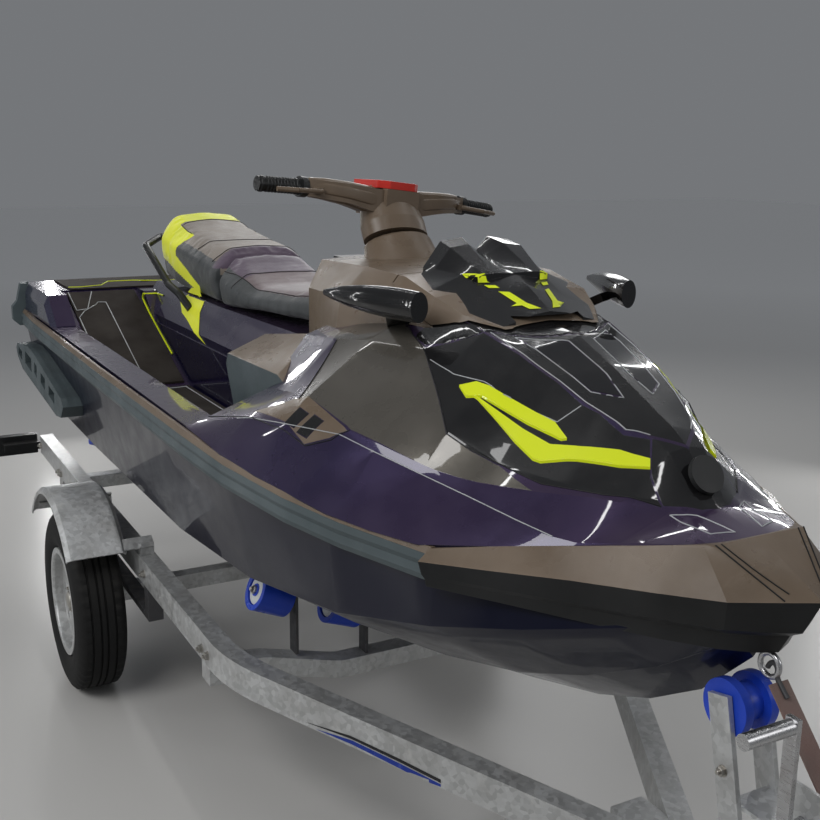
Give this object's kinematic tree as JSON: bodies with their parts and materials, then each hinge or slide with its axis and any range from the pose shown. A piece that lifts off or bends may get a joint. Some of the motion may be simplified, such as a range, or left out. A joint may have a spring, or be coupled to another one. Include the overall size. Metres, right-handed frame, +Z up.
{
  "type": "personal watercraft on a road trailer",
  "caption": "Sit-on personal watercraft with saddle seats and jet drive, strapped on a galvanised roller trailer with mudguards, winch post and jockey leg.",
  "frame": {"origin": "on the floor, below the middle of the overall box", "axes": "+X from the stern to the bow and coupling, +Y to port, +Z up"},
  "size_m": [4.51, 1.532, 1.589],
  "materials": {
    "hull_gloss": "gloss",
    "deck_gloss": "gloss",
    "panel_grey": "gloss",
    "black_gloss": "gloss",
    "taupe_plastic": "satin",
    "black_plastic": "satin",
    "teal_grey": "matt",
    "lime": "gloss",
    "red": "satin",
    "seat_plum": "matt",
    "seat_grey": "matt",
    "mat": "matt",
    "galvanised": "zinc",
    "steel": "satin",
    "alloy": "cast",
    "iron": "rough",
    "tyre": "matt",
    "blue_roller": "satin",
    "webbing": "woven",
    "lamp": "gloss"
  },
  "bodies": {
    "craft_on_trailer": {"hull": "hull_gloss", "engine": "iron", "side_panels": "panel_grey", "fairings": "black_gloss", "side_vents": "taupe_plastic", "hood": "black_gloss", "nose_cap": "black_gloss", "lime_trims": "lime", "nose_disc": "black_plastic", "deck": "deck_gloss", "rub_rails": "teal_grey", "rub_trims": "taupe_plastic", "bow_bumper_top": "taupe_plastic", "bow_bumper_base": "black_plastic", "console": "taupe_plastic", "mirrors": "black_gloss", "seat_front": "seat_plum", "seat_rear": "seat_grey", "grab_handle": "black_plastic", "knee_pads": "teal_grey", "mats": "mat", "sponsons": "teal_grey", "jet_pump": "alloy", "ride_plate": "black_plastic", "hull_fittings": "steel", "rail_left": "galvanised", "rail_right": "galvanised", "drawbar": "galvanised", "crossmembers": "galvanised", "axle": "galvanised", "springs": "iron", "mudguards": "galvanised", "rollers": "blue_roller", "roller_brackets": "iron", "winch_post": "galvanised", "winch_strap": "webbing", "coupling": "iron", "tail_lamps": "lamp"},
    "steering": {"steering_column": "black_plastic", "handlebar": "black_plastic", "red_pad": "red", "grips": "black_plastic"},
    "nozzle": {"nozzle": "alloy"},
    "reverse_bucket": {"reverse_bucket": "black_plastic"},
    "impeller": {"impeller": "steel"},
    "glove_lid": {"glove_lid": "black_plastic"},
    "storage_cover": {"storage_cover": "taupe_plastic", "visor": "black_gloss"},
    "ladder": {"ladder": "black_plastic"},
    "wheel_left": {"tyre_left": "tyre", "rim_left": "galvanised"},
    "wheel_right": {"tyre_right": "tyre", "rim_right": "galvanised"},
    "jack": {"jack_tube": "galvanised"},
    "jack_leg": {"jack_leg": "steel"},
    "jockey_fork": {"jockey_fork": "galvanised"},
    "jockey_wheel": {"jockey_wheel": "tyre"},
    "winch_drum": {"winch_drum": "steel"}
  },
  "joints": [
    {"name": "steering_turn", "type": "hinge", "parent": "craft_on_trailer", "child": "steering", "pos_m": [-0.09, 0, 1.462], "axis": [-0.5, 0, 0.866], "range_deg": [-34.5, 9.5]},
    {"name": "nozzle_turn", "type": "hinge", "parent": "craft_on_trailer", "child": "nozzle", "pos_m": [-2.055, 0, 0.64], "axis": [0, 0, 1], "range_deg": [-8.6, 31.1]},
    {"name": "bucket_swing", "type": "hinge", "parent": "craft_on_trailer", "child": "reverse_bucket", "pos_m": [-2.085, 0, 0.64], "axis": [0, -1, 0], "range_deg": [0, 75]},
    {"name": "impeller_spin", "type": "hinge", "parent": "craft_on_trailer", "child": "impeller", "pos_m": [-1.87, 0, 0.64], "axis": [1, 0, 0], "continuous": true},
    {"name": "glove_lid_swing", "type": "hinge", "parent": "craft_on_trailer", "child": "glove_lid", "pos_m": [-0.146, 0, 1.378], "axis": [0, 1, 0], "range_deg": [0, 50]},
    {"name": "storage_cover_swing", "type": "hinge", "parent": "craft_on_trailer", "child": "storage_cover", "pos_m": [0.621, 0, 1.312], "axis": [0, 1, 0], "range_deg": [0, 60]},
    {"name": "ladder_swing", "type": "hinge", "parent": "craft_on_trailer", "child": "ladder", "pos_m": [-2.115, 0, 0.9], "axis": [0, -1, 0], "range_deg": [0, 125]},
    {"name": "wheel_left_spin", "type": "hinge", "parent": "craft_on_trailer", "child": "wheel_left", "pos_m": [-0.877, 0.67, 0.277], "axis": [0, 1, 0], "continuous": true},
    {"name": "wheel_right_spin", "type": "hinge", "parent": "craft_on_trailer", "child": "wheel_right", "pos_m": [-0.877, -0.67, 0.277], "axis": [0, 1, 0], "continuous": true},
    {"name": "jack_swing", "type": "hinge", "parent": "craft_on_trailer", "child": "jack", "pos_m": [1.805, 0.092, 0.445], "axis": [0, 1, 0], "range_deg": [0, 90]},
    {"name": "jack_leg_slide", "type": "slide", "parent": "jack", "child": "jack_leg", "axis": [0, 0, 1], "range_m": [0, 0.1]},
    {"name": "jockey_swivel", "type": "hinge", "parent": "jack_leg", "child": "jockey_fork", "pos_m": [1.805, 0.092, 0.225], "axis": [0, 0, 1], "continuous": true},
    {"name": "jockey_wheel_spin", "type": "hinge", "parent": "jockey_fork", "child": "jockey_wheel", "pos_m": [1.767, 0.092, 0.095], "axis": [0, 1, 0], "continuous": true},
    {"name": "winch_turn", "type": "hinge", "parent": "craft_on_trailer", "child": "winch_drum", "pos_m": [1.383, 0, 0.64], "axis": [0, 1, 0], "continuous": true}
  ],
  "couplings": [
    {"joint": "nozzle_turn", "follows": "steering_turn", "ratio": -0.9}
  ]
}
